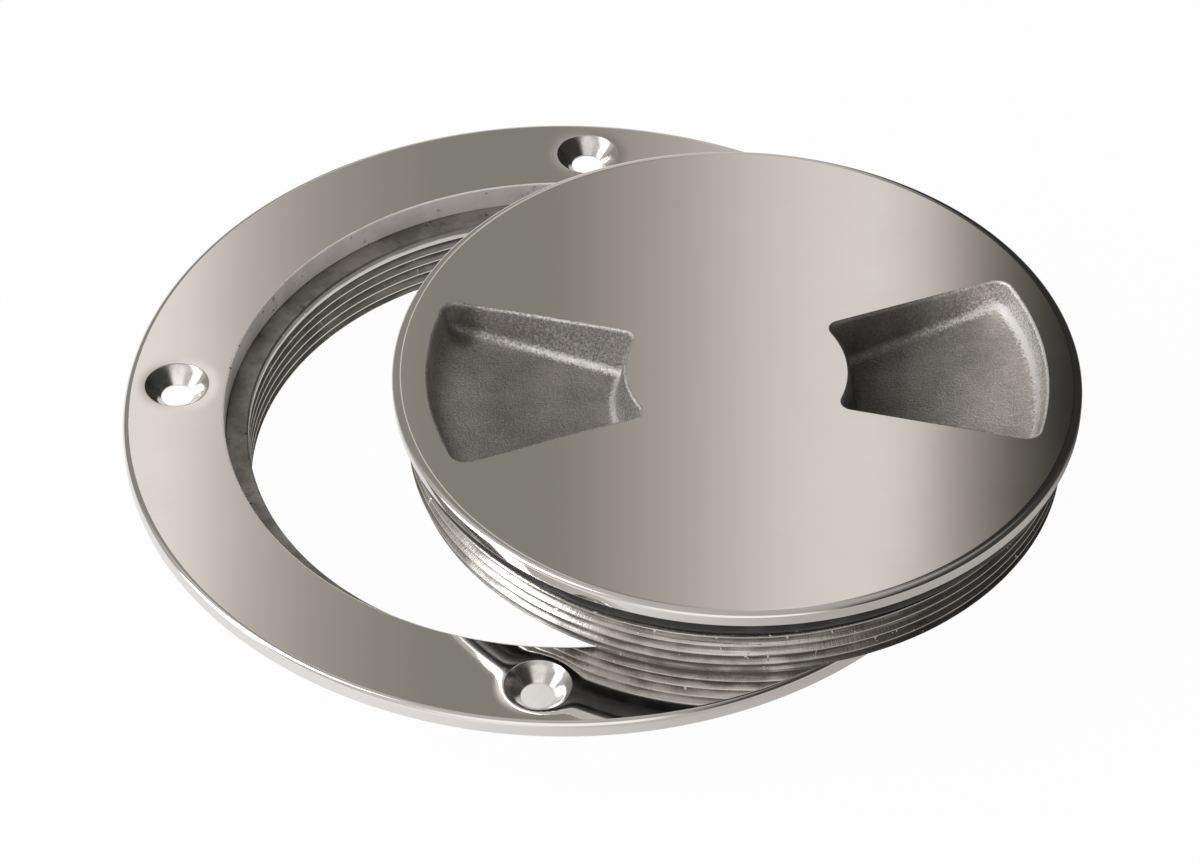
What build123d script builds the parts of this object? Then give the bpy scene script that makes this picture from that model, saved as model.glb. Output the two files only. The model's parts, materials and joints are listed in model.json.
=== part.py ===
from build123d import *
import os
from math import atan2, ceil, cos, sin, sqrt

# Screw-in deck inspection plate in cast and polished stainless steel
# Origin on the axis of the ring, in the plane where the flange meets the deck, +Z up
# The lid lies unscrewed on the flange, partly over the opening

# Thread shared by the lid and the ring
thread_diameter = 110.0
thread_pitch = 2.0
thread_depth = 1.3
crest_width = 0.25
flank_clearance = 0.06
root_clearance = 0.25

# Threaded ring
flange_thickness = 2.8
flange_width = 14.5
flange_edge_chamfer = 0.7
edge_break = 0.3
collar_wall = 2.7
collar_length = 14.2
collar_root_chamfer = 0.6
collar_edge_chamfer = 0.8
shelf_width = 3.85
bore_chamfer = 1.0
bore_lead = 0.7

# Countersunk screw holes in the flange
screw_count = 4
screw_hole_diameter = 5.6
countersink_diameter = 10.6
countersink_angle = 90.0
screw_edge_distance = 8.65

# Screw lid
rim_clearance = 0.4
rim_height = 2.4
rim_edge_chamfer = 0.7
neck_relief = 1.7
neck_undercut = 0.2
thread_length = 8.3
lid_edge_chamfer = 0.5
plate_thickness = 4.0
skirt_wall = 4.0
skirt_corner_chamfer = 2.0

# Seal between the rim of the lid and the shelf of the ring
seal_height = 3.0
seal_width = 3.2
seal_edge_chamfer = 0.8
seal_squeeze = 0.8

# Finger wells in the face of the lid, deeper towards its centre
well_inner_radius = 19.0
well_inner_width = 19.8
well_outer_width = 39.4
well_outer_wall = 2.2
well_inner_depth = 8.6
well_outer_depth = 4.4
well_corner_radius = 2.0
well_foot_chamfer = 1.0
well_draft = 8.0
well_wall = 2.8
well_wall_root = 1.0

# Where the lid lies at rest, and how far it is turned
lid_shift_x = 29.2
lid_shift_y = -6.8
lid_turn = 7.2

# Where each thread starts, as an angle about its own axis
ring_thread_angle = 11.0
lid_thread_angle = 320.0

# Radii, from the thread outwards
thread_radius = thread_diameter / 2
root_radius = thread_radius - thread_depth
neck_radius = root_radius - neck_undercut
bore_radius = root_radius + root_clearance
seat_radius = bore_radius + shelf_width
collar_radius = seat_radius + collar_wall
flange_radius = collar_radius + flange_width
screw_circle_radius = flange_radius - screw_edge_distance
lid_radius = seat_radius - rim_clearance
skirt_inner_radius = neck_radius - skirt_wall
well_outer_radius = neck_radius - well_outer_wall

# Sides of a finger well: their angle to its axis, and how far they pass from the lid's centre
well_inner_x = sqrt(well_inner_radius**2 - (well_inner_width / 2) ** 2)
well_outer_x = sqrt(well_outer_radius**2 - (well_outer_width / 2) ** 2)
well_side_angle = atan2((well_outer_width - well_inner_width) / 2, well_outer_x - well_inner_x)
well_side_distance = well_inner_width / 2 * cos(well_side_angle) - well_inner_x * sin(well_side_angle)

# Heights: the ring's from the deck, the lid's from its own lower edge, flush when closed
seat_depth = rim_height + seal_height - seal_squeeze
shelf_height = flange_thickness - seat_depth
lid_height = rim_height + seal_height + neck_relief + thread_length
rim_underside = lid_height - rim_height
plate_underside = lid_height - plate_thickness

# Thread sections: the lid's groove, and the ring's groove that takes the lid's ridge
lid_groove_mouth = thread_pitch - crest_width
flank_slope = lid_groove_mouth / 2 / thread_depth
ridge_at_bore = crest_width + 2 * (thread_radius - bore_radius) * flank_slope
ring_groove_mouth = ridge_at_bore + 2 * flank_clearance
ring_groove_depth = ring_groove_mouth / 2 / flank_slope
groove_overrun = 0.1
runout_turns = 1

os.makedirs("parts", exist_ok=True)


def one_turn_groove(surface_radius, mouth, depth, outward):
    """One right-hand turn of a V groove, cut from a cylinder outward or inward."""
    with BuildPart() as groove:
        with BuildLine() as helix:
            Helix(pitch=thread_pitch, height=thread_pitch, radius=surface_radius)
        with BuildSketch(Plane(helix.line @ 0, x_dir=(outward, 0, 0), z_dir=helix.line % 0)):
            with BuildLine():
                half_outside = mouth / 2 + groove_overrun * flank_slope
                Polyline(
                    (-groove_overrun, -half_outside),
                    (depth, 0),
                    (-groove_overrun, half_outside),
                    close=True,
                )
            make_face()
        sweep(path=helix.line, is_frenet=True)
    return groove.part


def thread_turns(top, bottom, angle):
    """Places of the single turns that fill a thread from its top until the last is past its bottom."""
    turns = ceil((top - bottom) / thread_pitch) + runout_turns
    lowest = top - turns * thread_pitch
    return [Location((0, 0, lowest + turn * thread_pitch), (0, 0, angle)) for turn in range(turns)]


def corner_at(section, radius, height):
    """The corner of a section that lies nearest to a radius and a height."""
    return section.vertices().sort_by_distance((radius, height, 0))[0]


# Threaded ring: flange, collar, seat for the rim of the lid and shelf for the seal
with BuildPart() as threaded_ring:
    with BuildSketch(Plane.XZ) as ring_section:
        with BuildLine():
            Polyline(
                (seat_radius, flange_thickness),
                (flange_radius, flange_thickness),
                (flange_radius, 0),
                (collar_radius, 0),
                (collar_radius, -collar_length),
                (bore_radius, -collar_length),
                (bore_radius, shelf_height),
                (seat_radius, shelf_height),
                close=True,
            )
        make_face()
        chamfer(corner_at(ring_section, flange_radius, flange_thickness), flange_edge_chamfer)
        chamfer(corner_at(ring_section, collar_radius, 0), collar_root_chamfer)
        chamfer(corner_at(ring_section, seat_radius, flange_thickness), edge_break)
        chamfer(corner_at(ring_section, bore_radius, shelf_height), edge_break)
        chamfer(corner_at(ring_section, collar_radius, -collar_length), collar_edge_chamfer)
        chamfer(corner_at(ring_section, bore_radius, -collar_length), bore_chamfer)
    revolve(axis=Axis.Z)
    with Locations(Plane.XY.offset(flange_thickness)):
        with PolarLocations(screw_circle_radius, screw_count):
            CounterSinkHole(
                radius=screw_hole_diameter / 2,
                counter_sink_radius=countersink_diameter / 2,
                counter_sink_angle=countersink_angle,
            )
    ring_thread_top = shelf_height - bore_lead - ring_groove_mouth / 2
    ring_turn = one_turn_groove(bore_radius, ring_groove_mouth, ring_groove_depth, 1)
    with Locations(*thread_turns(ring_thread_top, -collar_length, ring_thread_angle)):
        add(ring_turn, mode=Mode.SUBTRACT)


def well_corner(radius, grow):
    """Where the side of a finger well, moved outwards, meets a circle about the lid's centre."""
    away = well_side_distance + grow
    along = sqrt(radius**2 - away**2)
    side = Vector(cos(well_side_angle), sin(well_side_angle))
    return side * along + Vector(-side.Y, side.X) * away


def well_plan(grow):
    """Outline of a finger well on the face, grown on all sides by a wall thickness."""
    inner = well_corner(well_inner_radius - grow, grow)
    outer = well_corner(well_outer_radius + grow, grow)
    with BuildSketch() as plan:
        with BuildLine():
            Line((inner.X, -inner.Y), (outer.X, -outer.Y))
            ThreePointArc((outer.X, -outer.Y), (well_outer_radius + grow, 0), (outer.X, outer.Y))
            Line((outer.X, outer.Y), (inner.X, inner.Y))
            ThreePointArc((inner.X, inner.Y), (well_inner_radius - grow, 0), (inner.X, -inner.Y))
        make_face()
    return plan.sketch


def well_form(grow):
    """Drafted form of a finger well, grown by a wall thickness, down to its sloping floor."""
    run = well_outer_radius - well_inner_radius
    drop = well_inner_depth - well_outer_depth
    floor_start = (well_inner_radius, 0, lid_height - well_inner_depth - grow)
    floor = Plane(origin=floor_start, x_dir=(run, 0, drop), z_dir=(-drop, 0, run))
    with BuildPart() as form:
        with BuildSketch(Plane.XY.offset(lid_height)):
            add(well_plan(grow))
        extrude(amount=-lid_height)
        draft(form.faces().filter_by(Axis.Z, reverse=True), Plane.XY.offset(lid_height), well_draft)
        split(bisect_by=floor, keep=Keep.TOP)
        levels = form.faces().sort_by(Axis.Z)
        fillet(form.edges() - levels[0].edges() - levels[-1].edges(), well_corner_radius)
    return form.part


# Cutter of one finger well, with a bevel round its floor
with BuildPart() as well_cutter:
    add(well_form(0))
    chamfer(well_cutter.faces().sort_by(Axis.Z)[0].edges(), well_foot_chamfer)

# Wall round and under one finger well, below the plate of the lid and inside its skirt
with BuildPart() as well_boss:
    add(well_form(well_wall))
    split(bisect_by=Plane.XY.offset(plate_underside + well_wall_root), keep=Keep.BOTTOM)
    Cylinder(skirt_inner_radius + skirt_wall / 2, 2 * lid_height, mode=Mode.INTERSECT)

# Screw lid: plate, rim, neck for the seal and threaded skirt, hollow underneath
with BuildPart() as lid:
    with BuildSketch(Plane.XZ) as lid_section:
        with BuildLine():
            Polyline(
                (0, lid_height),
                (lid_radius, lid_height),
                (lid_radius, rim_underside),
                (neck_radius, rim_underside),
                (neck_radius, thread_length),
                (thread_radius, thread_length),
                (thread_radius, 0),
                (skirt_inner_radius, 0),
                (skirt_inner_radius, plate_underside),
                (0, plate_underside),
                close=True,
            )
        make_face()
        chamfer(corner_at(lid_section, lid_radius, lid_height), rim_edge_chamfer)
        chamfer(corner_at(lid_section, skirt_inner_radius, plate_underside), skirt_corner_chamfer)
        chamfer(corner_at(lid_section, thread_radius, 0), lid_edge_chamfer)
        chamfer(corner_at(lid_section, skirt_inner_radius, 0), lid_edge_chamfer)
    revolve(axis=Axis.Z)
    with PolarLocations(0, 2):
        add(well_boss.part)
    with PolarLocations(0, 2):
        add(well_cutter.part, mode=Mode.SUBTRACT)
    lid_turn_groove = one_turn_groove(thread_radius, lid_groove_mouth, thread_depth, -1)
    lid_thread_top = thread_length + thread_pitch / 2
    with Locations(*thread_turns(lid_thread_top, 0, lid_thread_angle)):
        add(lid_turn_groove, mode=Mode.SUBTRACT)

# Seal ring, round the neck of the lid and against the underside of its rim
with BuildPart() as seal:
    with BuildSketch(Plane.XZ) as seal_profile:
        with Locations((neck_radius, rim_underside)):
            Rectangle(seal_width, seal_height, align=(Align.MIN, Align.MAX))
        chamfer(seal_profile.vertices().group_by(Axis.X)[-1], seal_edge_chamfer)
    revolve(axis=Axis.Z)

# The lid and its seal lie on the flange, off the axis of the ring
lid_place = Location((lid_shift_x, lid_shift_y, flange_thickness), (0, 0, lid_turn))
with BuildPart() as screw_lid:
    with Locations(lid_place):
        add(lid.part)
with BuildPart() as seal_ring:
    with Locations(lid_place):
        add(seal.part)

threaded_ring.part.label = "threaded_ring"
export_step(threaded_ring.part, "parts/threaded_ring.step")
screw_lid.part.label = "screw_lid"
export_step(screw_lid.part, "parts/screw_lid.step")
seal_ring.part.label = "seal_ring"
export_step(seal_ring.part, "parts/seal_ring.step")
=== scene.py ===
"""Deck inspection plate in polished cast steel: a threaded ring, with its screw lid laid on it."""

import json
from math import atan2, ceil, cos, exp, pi, radians, sin, sqrt, tan

import bmesh
import bpy
import numpy as np
from mathutils import Matrix, Vector


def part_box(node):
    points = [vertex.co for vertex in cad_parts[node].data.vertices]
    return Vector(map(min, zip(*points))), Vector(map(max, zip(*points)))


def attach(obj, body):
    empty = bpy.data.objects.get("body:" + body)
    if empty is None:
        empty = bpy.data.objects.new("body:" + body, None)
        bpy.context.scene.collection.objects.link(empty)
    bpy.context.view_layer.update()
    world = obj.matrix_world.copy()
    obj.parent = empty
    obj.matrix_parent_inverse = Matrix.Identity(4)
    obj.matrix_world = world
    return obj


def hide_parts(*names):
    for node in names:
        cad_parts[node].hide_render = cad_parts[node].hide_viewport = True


bl_info = {
    "name": "Deck Inspection Plate",
    "version": (1, 0, 0),
    "blender": (4, 5, 0),
    "location": "3D View > Sidebar > Deck Plate",
    "description": "Builds a screw-in deck inspection plate with its lid laid on the threaded ring",
    "category": "Add Mesh",
}

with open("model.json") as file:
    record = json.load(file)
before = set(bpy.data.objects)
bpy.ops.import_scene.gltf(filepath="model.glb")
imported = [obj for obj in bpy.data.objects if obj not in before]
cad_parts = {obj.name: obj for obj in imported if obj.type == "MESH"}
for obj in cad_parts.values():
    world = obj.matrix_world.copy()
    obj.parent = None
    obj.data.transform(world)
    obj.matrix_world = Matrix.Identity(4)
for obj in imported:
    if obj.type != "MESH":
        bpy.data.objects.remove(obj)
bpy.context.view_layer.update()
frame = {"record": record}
MM = 0.001

# Places that the frame gives: the ring, the lid on it and the circle of screw holes
ring_low, ring_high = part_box("threaded_ring")
lid_low, lid_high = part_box("screw_lid")
seal_low, seal_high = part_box("seal_ring")
mounts = {mount["name"]: mount for mount in frame["record"]["mounts"]}
screw_dims = mounts["screw_holes"]["dims"]
lid_axis = (lid_low + lid_high) / 2


# Camera: its sensor's width in millimetres, and how far it sees
SENSOR_WIDTH = 36.0
FAR_CLIP = 20.0

# Floor and lamp: their sizes, the colours of the painted light and shade that the floor shows in
# reflections, and where they change
FLOOR_SIZE = 4.0
FLOOR_GAP = 0.05 * MM
FLOOR_PAPER = (0.86, 0.86, 0.86)
FLOOR_PAINTED_LIT = (0.9, 0.88, 0.87)
FLOOR_PAINTED_SHADE = (0.46, 0.43, 0.41)
FLOOR_PAINTED_DARK = (0.05, 0.048, 0.045)
LEFT_TO_RIGHT = (-0.05, 0.08)
FAR_RIGHT = (0.075, 0.095)
FAR_BEHIND = (-0.02, 0.02)
FLOOR_SEEN = 0.975
FLOOR_MIRRORED = 0.9
LAMP_PLACE = (-0.90, -0.12, 1.16)
LAMP_SIZE = 0.36
LAMP_POWER = 2.2

# Room that the steel reflects: its cards, then the levels of the panel and of the room, left to right
BLACK = (0.0, 0.0, 0.0)
WHITE = (1.0, 1.0, 1.0)
LOW_CARD = (0.95, 0.91, 0.88)
SPOT = (1.05, 1.02, 1.0)
LEFT_CARD = (0.27, 0.26, 0.235)
SOFTBOX = (3.2, 3.2, 3.2)
RIGHT_CARD = (0.05, 0.048, 0.045)
BACK_CARD = (0.03, 0.028, 0.026)
PANEL_WIDTH = 0.32
PANEL_STOPS = (
    (0.11, (0.28, 0.27, 0.25)),
    (0.14, (0.92, 0.88, 0.85)),
    (0.19, (0.86, 0.81, 0.77)),
    (0.24, (0.53, 0.49, 0.45)),
    (0.30, (0.34, 0.32, 0.29)),
    (0.38, (0.25, 0.24, 0.21)),
    (0.47, (0.25, 0.24, 0.21)),
    (0.56, (0.46, 0.42, 0.39)),
    (0.64, (0.73, 0.68, 0.63)),
    (0.70, (0.79, 0.76, 0.71)),
    (0.73, (0.68, 0.63, 0.59)),
    (0.765, (0.34, 0.32, 0.29)),
    (0.80, (0.13, 0.12, 0.10)),
    (0.84, (0.02, 0.02, 0.02)),
)
ROOM_STOPS = (
    (0.0, (0.42, 0.39, 0.37)),
    (0.10, (0.50, 0.465, 0.44)),
    (0.30, (0.72, 0.685, 0.665)),
    (0.44, (0.62, 0.58, 0.56)),
    (0.54, (0.54, 0.51, 0.49)),
    (0.70, (0.42, 0.40, 0.38)),
    (1.0, (0.40, 0.38, 0.36)),
)


def size_property(name, description, millimetres):
    """A size that is given in millimetres and kept in metres."""
    default = millimetres * MM
    return bpy.props.FloatProperty(name=name, description=description, default=default, subtype="DISTANCE")


def angle_property(name, description, default):
    """An angle in radians."""
    return bpy.props.FloatProperty(name=name, description=description, default=default, subtype="ANGLE")


def colour_property(name, description, default):
    """A colour, as linear red, green and blue."""
    return bpy.props.FloatVectorProperty(
        name=name, description=description, default=default, subtype="COLOR"
    )


class PlateRingSizes(bpy.types.PropertyGroup):
    """Sizes of the threaded ring, in metres."""

    radius: size_property("Flange radius", "Outer radius of the flange", 75.0)
    edge: size_property("Edge radius", "Rounding of the flange's upper edge", 1.0)
    seat_radius: size_property("Seat radius", "Radius of the seat for the lid's rim", 57.8)
    seat_depth: size_property("Seat depth", "From the flange down to the shelf", 4.6)
    bore_radius: size_property("Bore radius", "Crests of the internal thread", 53.95)
    bore_lead: size_property("Bore lead", "Plain bore above the thread", 0.7)
    bore_chamfer: size_property("Bore chamfer", "Chamfer at the lower end of the bore", 1.0)
    collar_radius: size_property("Collar radius", "Outside of the collar", 60.5)
    countersink_radius: size_property("Countersink radius", "Mouth of each countersink", 5.3)
    groove_mouth: size_property("Groove mouth", "Width of the internal groove", 1.78)
    groove_depth: size_property("Groove depth", "Depth of the internal groove", 1.30)
    thread_start: angle_property("Thread start", "Angle at which the thread starts", radians(11.0))


class PlateLidSizes(bpy.types.PropertyGroup):
    """Sizes of the screw lid, in metres."""

    radius: size_property("Rim radius", "Outer radius of the rim", 57.39)
    rim_height: size_property("Rim height", "Height of the rim", 2.4)
    edge: size_property("Edge drop", "Height of the rounding of the rim's upper edge", 0.7)
    roll: size_property("Edge width", "Width of the rounding of the rim's upper edge", 1.5)
    neck_radius: size_property("Neck radius", "Neck that the seal sits on", 53.5)
    thread_radius: size_property("Thread radius", "Crests of the external thread", 55.0)
    thread_length: size_property("Thread length", "Height of the threaded skirt", 8.3)
    groove_mouth: size_property("Groove mouth", "Width of the external groove", 1.75)
    groove_depth: size_property("Groove depth", "Depth of the external groove", 1.3)
    thread_start: angle_property("Thread start", "Angle at which the thread starts", radians(320.0))
    hollow_radius: size_property("Hollow radius", "Inside of the skirt", 49.5)
    plate: size_property("Plate", "Thickness of the plate", 4.0)
    turn: angle_property("Turn", "How far the lid is turned on its axis", radians(7.2))


class PlateWellSizes(bpy.types.PropertyGroup):
    """Sizes of the two finger wells in the lid, in metres."""

    inner_radius: size_property("Inner radius", "Arc at the deep end", 19.0)
    outer_radius: size_property("Outer radius", "Arc at the shallow end", 51.3)
    inner_width: size_property("Inner width", "Width at the deep end", 19.8)
    outer_width: size_property("Outer width", "Width at the shallow end", 39.4)
    inner_depth: size_property("Inner depth", "Depth at the deep end", 8.6)
    outer_depth: size_property("Outer depth", "Depth at the shallow end", 4.4)
    corner: size_property("Corner radius", "Rounding of the corners in plan", 2.0)
    foot: size_property("Foot radius", "Rounding between wall and floor", 1.8)
    draft: angle_property("Draft", "Lean of the walls", radians(8.0))
    wall: size_property("Wall", "Thickness round and under a well", 2.8)


class PlateColours(bpy.types.PropertyGroup):
    """Colours of the steel and of the seal."""

    polished: colour_property("Polished steel", "The mirror-polished faces", (0.86, 0.85, 0.835))
    cast: colour_property("Cast steel", "Finger wells and underside", (0.66, 0.635, 0.6))
    # The light ends of the threads' colours; toward the root the threads darken with grime and painted
    # shade
    thread: colour_property("Lid thread", "Clean parts of the lid's thread", (0.66, 0.64, 0.615))
    bore: colour_property("Ring thread", "Clean parts of the ring's thread", (0.76, 0.74, 0.71))
    rubber: colour_property("Rubber", "The seal under its dust", (0.014, 0.013, 0.012))


class PlateStageSettings(bpy.types.PropertyGroup):
    """Where the camera stands and where it looks."""

    lens: bpy.props.FloatProperty(
        name="Lens", description="Focal length in mm", default=129.0, unit="CAMERA"
    )
    elevation: angle_property("Elevation", "How steeply the camera looks down", 0.754)
    roll: angle_property("Roll", "Roll of the camera", 0.010)
    heading: angle_property("Heading", "Turn of the camera about the ring", radians(2.87))
    aim: bpy.props.FloatVectorProperty(
        name="Aim",
        description="Place of the ring in front of the camera: right, down and away",
        default=(-6.083 * MM, -5.162 * MM, 732.328 * MM),
        subtype="TRANSLATION",
    )


# The thread that the ring and the lid share, and the rows that draw one turn of it
THREAD_PITCH = 2.0 * MM
THREAD_STEPS = np.array([0.0, 0.07, 0.18, 0.3, 0.4, 0.44, 0.47, 0.5, 0.53, 0.56, 0.6, 0.7, 0.82, 0.93])
THREAD_FADE = 0.12
THREAD_FOOT = 0.08

# Grids: columns round the axis, columns to each side of a hole, and the narrow row beside an edge
COLUMNS = 480
HALF_COLUMNS = COLUMNS // 2 + 1
HOLE_COLUMNS = 9
HOLE_ROWS = 9
SUPPORT = 0.05 * MM
ANGLES = np.linspace(0.0, 2 * pi, COLUMNS + 1)
SHARP_ANGLE = radians(32.0)
SEAL_SHARP_ANGLE = radians(50.0)
SCREW_COUNT = screw_dims["count"]
WELD = 0.003 * MM
SLIVER = 0.002 * MM

# Rows of points, as shares of the way: to a hole, down a countersink, to a well and over the plate
HOLE_SHARES = np.array([0.0, 0.02, 0.1, 0.2, 0.3, 0.4, 0.5, 0.6, 0.7, 0.8, 0.9, 0.97, 1.0])
SINK_SHARES = (0.84, 0.6, 0.4, 0.2, 0.0)
SINK_EDGE_ROWS = ((1.0, 0.0), (0.4, 0.3), (-0.4, 1.0))
FACE_SHARES = np.array([0.0, 0.003, 0.3, 0.7, 0.99, 1.0])
PLATE_SHARES = (0.02, 0.5, 0.98, 1.0)
SKIRT_TOP = 0.02

# Small edges and bevels, and the dish that polishing leaves round each screw hole
SEAT_EDGE = 0.3 * MM
SEAT_CORNER = 0.3 * MM
SHELF_EDGE = 0.3 * MM
UNDER_EDGE = 0.2 * MM
COLLAR_ROOT = 0.6 * MM
COLLAR_END = 0.8 * MM
SINK_EDGE = 0.15 * MM
DISHES = (0.02 * MM, 0.02 * MM, 0.02 * MM, 0.11 * MM)
DISH_WIDTH = 2.2 * MM
RIM_UNDER = 0.2 * MM
EDGE_ROWS = 16
SKIRT_CHAMFER = 0.5 * MM
SEAL_ROUND = 1.3 * MM

# Rows of the wells, and the point that each well's rays start from
WELL_MIDDLE = 37.0 * MM
SIDE_COLUMNS = 160
LIP = 0.55 * MM
LIP_ROWS = 5
WALL_ROWS = 6
FOOT_ROWS = 7
FLOOR_ROWS = 10
HALVINGS = 40

# Parts of a well's wall that get a painted highlight: the middle and the width of each, down the section
LIP_HIGHLIGHT = (0.12, 0.14)
WALL_HIGHLIGHT = (0.62, 0.2)
FOOT_HIGHLIGHT = (0.82, 0.13)
FLAT_HIGHLIGHT = 0.42
FLAT_SPAN = (0.2, 0.8)

# Turned steels: light and dark colour, roughness, how far they are pitted, and how metallic they are
TURNED = {
    # The seat's white, matt colour is painted light that stands in for the floor's reflection where the
    # seat is shut in; the shelf's dark colour is painted shade under the lid
    "seat_steel_painted_light": ((1.0, 0.97, 0.94), (0.86, 0.83, 0.8), 0.5, 1.0, 0.0),
    "shelf_steel_painted_shade": ((0.46, 0.445, 0.42), (0.27, 0.26, 0.245), 0.45, 1.0, 1.0),
    "collar_steel": ((0.98, 0.97, 0.95), (0.9, 0.89, 0.87), 0.14, 0.0, 1.0),
    "countersink_steel": ((0.86, 0.85, 0.83), (0.6, 0.585, 0.57), 0.12, 0.0, 1.0),
    "neck_steel": ((0.6, 0.59, 0.57), (0.4, 0.39, 0.38), 0.3, 1.0, 1.0),
}
PORE = (0.08, 0.075, 0.07)
SMEAR = (0.14, 0.13, 0.12)

# Threads: the dark colour of the grime and painted shade with the roughness, and the height below which the
# lid's grows darker
RING_GRIME_AND_SHADE = ((0.27, 0.26, 0.245), 0.3)
LID_GRIME_AND_SHADE = ((0.18, 0.17, 0.16), 0.13)
LID_DARK_BELOW = 5.0 * MM
DARKENING_FADE = 4.5 * MM
# Near-white colour of the nicks: a painted glint on small real nicks
NICK_GLINT = (0.97, 0.96, 0.94)

# Cast steel: grain of the wells and of the underside, the stain, the painted highlight, and the tones to
# the right of it, which in the wells are painted shade and painted light
WELL_GRAIN = 2400.0
UNDER_GRAIN = 900.0
STAIN_PLACE = (-17.5 * MM, 4.5 * MM, 0.0)
STAIN = (0.09, 0.085, 0.08)
# Colour of the painted highlight on the wells
PAINTED_HIGHLIGHT = (1.0, 0.99, 0.97)
TONE_SPAN = 0.1
WELL_PAINTED_LIGHT_AND_SHADE = (
    (0.0, 0.95),
    (0.06, 0.84),
    (0.55, 0.82),
    (0.66, 0.36),
    (0.741, 0.42),
    (0.825, 0.9),
    (0.9, 1.25),
)
UNDER_TONES = ((0.0, 0.75), (1.0, 0.75))
DUST = (0.06, 0.057, 0.053)


class Wire:
    """A socket that an expression can be written with: each operator adds its Math node."""

    def __init__(self, graph, socket):
        self.graph = graph
        self.socket = socket

    def maths(self, operation, first, second):
        return self.graph.node("ShaderNodeMath", {"operation": operation}, {0: first, 1: second})

    def __add__(self, other):
        return self.maths("ADD", self, other)

    def __sub__(self, other):
        return self.maths("SUBTRACT", self, other)

    def __rsub__(self, other):
        return self.maths("SUBTRACT", other, self)

    def __mul__(self, other):
        return self.maths("MULTIPLY", self, other)

    def __truediv__(self, other):
        return self.maths("DIVIDE", self, other)

    def __pow__(self, other):
        return self.maths("POWER", self, other)

    __radd__ = __add__
    __rmul__ = __mul__


class Graph:
    """The node tree of one material or of the world."""

    def __init__(self, owner):
        owner.use_nodes = True
        self.owner = owner
        self.tree = owner.node_tree
        self.tree.nodes.clear()

    def node(self, kind, settings=None, sockets=None, output=0):
        """Adds a node: its settings first, then the values or wires of its sockets."""
        made = self.tree.nodes.new(kind)
        for name, value in (settings or {}).items():
            if name == "stops":
                self.set_stops(made.color_ramp.elements, value)
            else:
                setattr(made, name, value)
        for name, value in (sockets or {}).items():
            if isinstance(value, Wire):
                self.tree.links.new(value.socket, made.inputs[name])
            else:
                made.inputs[name].default_value = value
        return Wire(self, made.outputs[output]) if made.outputs else made

    def set_stops(self, elements, stops):
        """Gives a ramp its stops, each a place and a grey level or a colour."""
        while len(elements) < len(stops):
            elements.new(1.0)
        for element, (place, level) in zip(elements, stops):
            element.position = place
            element.color = (*level, 1.0) if isinstance(level, tuple) else (level, level, level, 1.0)

    def between(self, value, low, high, to_low=0.0, to_high=1.0):
        """The value carried smoothly from one range to another and held at its ends."""
        return self.node(
            "ShaderNodeMapRange",
            {"interpolation_type": "SMOOTHSTEP"},
            {"Value": value, "From Min": low, "From Max": high, "To Min": to_low, "To Max": to_high},
        )

    def fade(self, value, low, high):
        """One below a range, zero above it and smooth between."""
        return self.between(value, low, high, 1.0, 0.0)

    def noise(self, place, scale, detail=3.0, roughness=0.5):
        """Soft noise from 0 to 1 about 0.5."""
        sockets = {"Vector": place, "Scale": scale, "Detail": detail, "Roughness": roughness}
        return self.node("ShaderNodeTexNoise", {}, sockets)

    def blend(self, factor, first, second, kind="MIX"):
        """A colour between two colours, or another mix of them."""
        settings = {"data_type": "RGBA", "blend_type": kind}
        first, second = (c if isinstance(c, Wire) else (*c, 1.0) for c in (first, second))
        return self.node("ShaderNodeMix", settings, {0: factor, 6: first, 7: second}, output=2)

    def ramp(self, place, stops):
        """The levels of a row of stops, read at a place from 0 to 1."""
        return self.node("ShaderNodeValToRGB", {"stops": stops}, {0: place})

    def axes(self, place):
        """The three coordinates of a place."""
        split = self.node("ShaderNodeSeparateXYZ", {}, {0: place})
        return [Wire(self, socket) for socket in split.socket.node.outputs]

    def light_path(self, kind):
        """One for the rays of one kind and zero for all others."""
        return self.node("ShaderNodeLightPath", output=kind)


def object_place(graph):
    """Object coordinates."""
    return graph.node("ShaderNodeTexCoord", output="Object")


def polar_places(graph, centre):
    """Object coordinates about a centre, then the angle, radius and height that they give."""
    shift = tuple(-c for c in centre)
    moved = graph.node("ShaderNodeVectorMath", {"operation": "ADD"}, {0: object_place(graph), 1: shift})
    x, y, z = graph.axes(moved)
    return moved, y.maths("ARCTAN2", y, x), (x * x + y * y) ** 0.5, z


def streaks(graph, polar, rates, detail):
    """Noise drawn out round the axis, read at the angle, radius and height, each times its rate."""
    sockets = {number: value * rate for number, (value, rate) in enumerate(zip(polar, rates))}
    return graph.noise(graph.node("ShaderNodeCombineXYZ", {}, sockets), 1.0, detail)


def finish(colour, roughness, bump, depth, metallic=1.0, strength=1.0):
    """Ends a material: a bump of the given depth, then the Principled shader on its output."""
    graph = roughness.graph
    normal = graph.node("ShaderNodeBump", {}, {"Strength": strength, "Distance": depth, "Height": bump})
    sockets = {"Base Color": colour, "Metallic": metallic, "Roughness": roughness, "Normal": normal}
    shader = graph.node("ShaderNodeBsdfPrincipled", {}, sockets)
    graph.node("ShaderNodeOutputMaterial", {}, {"Surface": shader})
    return graph.owner


def polished_steel(tint):
    """Mirror polish, with a faint haze, a few fine wipe marks and the slow waves of hand polishing."""
    graph = Graph(bpy.data.materials.new("polished_steel"))
    place = object_place(graph)
    haze = graph.noise(place, 90.0, 5.0)
    wiped = graph.node("ShaderNodeMapping", {}, {"Vector": place, "Scale": (40.0, 900.0, 40.0)})
    roughness = 0.035 + haze * 0.03 + graph.noise(wiped, 1.0) * 0.015
    colour = graph.blend(haze, tint, [level * 0.953 for level in tint])
    return finish(colour, roughness, graph.noise(place, 24.0, 1.0), 0.03 * MM)


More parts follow.
